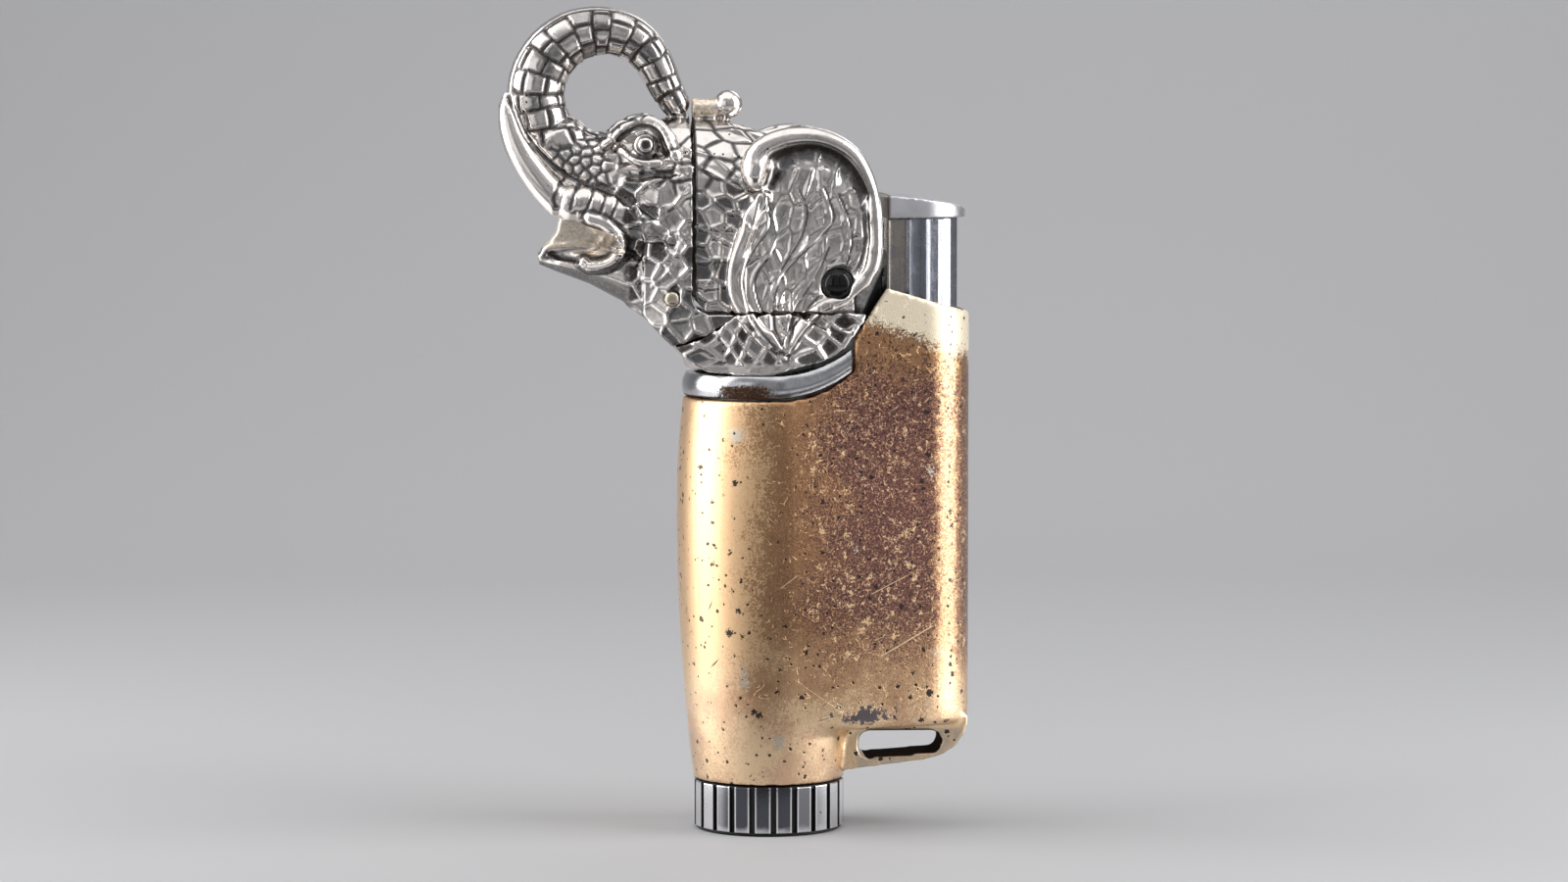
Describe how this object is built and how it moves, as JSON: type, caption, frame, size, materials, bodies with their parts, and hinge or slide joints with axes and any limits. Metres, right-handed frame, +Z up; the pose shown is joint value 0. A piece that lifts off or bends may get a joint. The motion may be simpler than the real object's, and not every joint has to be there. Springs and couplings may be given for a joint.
{
  "type": "pipe lighter",
  "caption": "Slim push-button gas lighter whose hinged head has the shape of an elephant, with a ribbed flame wheel in its base.",
  "frame": {"origin": "centre of the flame wheel's underside, on which the lighter stands", "axes": "+Z up along the wheel's axis, +X towards the push button, +Y towards the side away from the viewer"},
  "size_m": [0.0597, 0.0234, 0.1047],
  "materials": {
    "gilt_body": "worn gold lacquer over a cast body, tarnished and chipped",
    "chrome_head": "plated casting with dark patina in the folds",
    "chrome_trim": "polished plating with grime",
    "chrome_button": "satin plating",
    "black_metal": "black lacquer",
    "brass_inner": "turned",
    "steel_inner": "pressed and drawn steel",
    "seal_rubber": "moulded nitrile",
    "tank_plastic": "moulded, milky",
    "black_plastic": "moulded",
    "white_plastic": "moulded",
    "ceramic_white": "glazed insulator"
  },
  "bodies": {
    "root": {"body_shell": "gilt_body", "wheel_bush": "brass_inner", "fill_valve_body": "brass_inner", "fill_valve_spring": "steel_inner", "fuel_tank": "tank_plastic", "tank_lid": "tank_plastic", "tank_seal": "seal_rubber", "gas_riser": "brass_inner", "outlet_valve": "brass_inner", "valve_spring": "steel_inner", "gas_lever_pin": "steel_inner", "chassis": "steel_inner", "chassis_screws": "steel_inner", "burner_deck": "steel_inner", "burner_tube": "brass_inner", "wind_shield": "steel_inner", "electrode": "ceramic_white", "electrode_wire": "steel_inner", "piezo_housing": "black_plastic", "return_spring": "steel_inner", "head_front": "chrome_head", "neck": "chrome_head", "collar": "chrome_trim", "jaw_pin": "brass_inner"},
    "button": {"button_stem": "chrome_button", "button_plate": "chrome_button", "piezo_plunger": "white_plastic"},
    "cap": {"cap_shell": "chrome_head", "cap_lever": "steel_inner", "cap_screws": "steel_inner", "hinge_pin": "black_metal"},
    "adjuster": {"adjuster_core": "black_metal", "adjuster_sleeve": "chrome_trim", "wheel_clip": "steel_inner", "regulator_sleeve": "brass_inner", "regulator_seal": "seal_rubber"},
    "fill_stem": {"fill_valve_stem": "steel_inner", "fill_valve_seal": "seal_rubber"},
    "gas_arm": {"gas_lever": "steel_inner"},
    "gas_nozzle": {"valve_nozzle": "brass_inner"}
  },
  "joints": [
    {"name": "button_press", "type": "slide", "parent": "root", "child": "button", "axis": [0, 0, -1], "range_m": [0, 0.0075], "stiffness_N_per_m": 350, "springref_m": -0.004, "deforming": ["return_spring"]},
    {"name": "cap_hinge", "type": "hinge", "parent": "root", "child": "cap", "pos_m": [0.0081, 0, 0.0699], "axis": [0, 1, 0], "range_deg": [0, 48]},
    {"name": "gas_lever_tilt", "type": "hinge", "parent": "root", "child": "gas_arm", "pos_m": [0.0106, 0, 0.061], "axis": [0, 1, 0], "range_deg": [0, 5.5]},
    {"name": "gas_valve_lift", "type": "slide", "parent": "root", "child": "gas_nozzle", "axis": [0, 0, 1], "range_m": [0, 0.00105], "deforming": ["valve_spring"]},
    {"name": "flame_adjust", "type": "hinge", "parent": "root", "child": "adjuster", "pos_m": [0, 0, 0.003], "axis": [0, 0, 1], "range_deg": [-100, 100]},
    {"name": "fill_valve_press", "type": "slide", "parent": "root", "child": "fill_stem", "axis": [0, 0, 1], "range_m": [0, 0.0008], "stiffness_N_per_m": 400, "springref_m": -0.0015, "deforming": ["fill_valve_spring"]}
  ],
  "couplings": [
    {"joint": "cap_hinge", "follows": "button_press", "rad_per_m": 111.69},
    {"joint": "gas_lever_tilt", "follows": "button_press", "rad_per_m": 12.79},
    {"joint": "gas_valve_lift", "follows": "button_press", "ratio": 0.139}
  ]
}
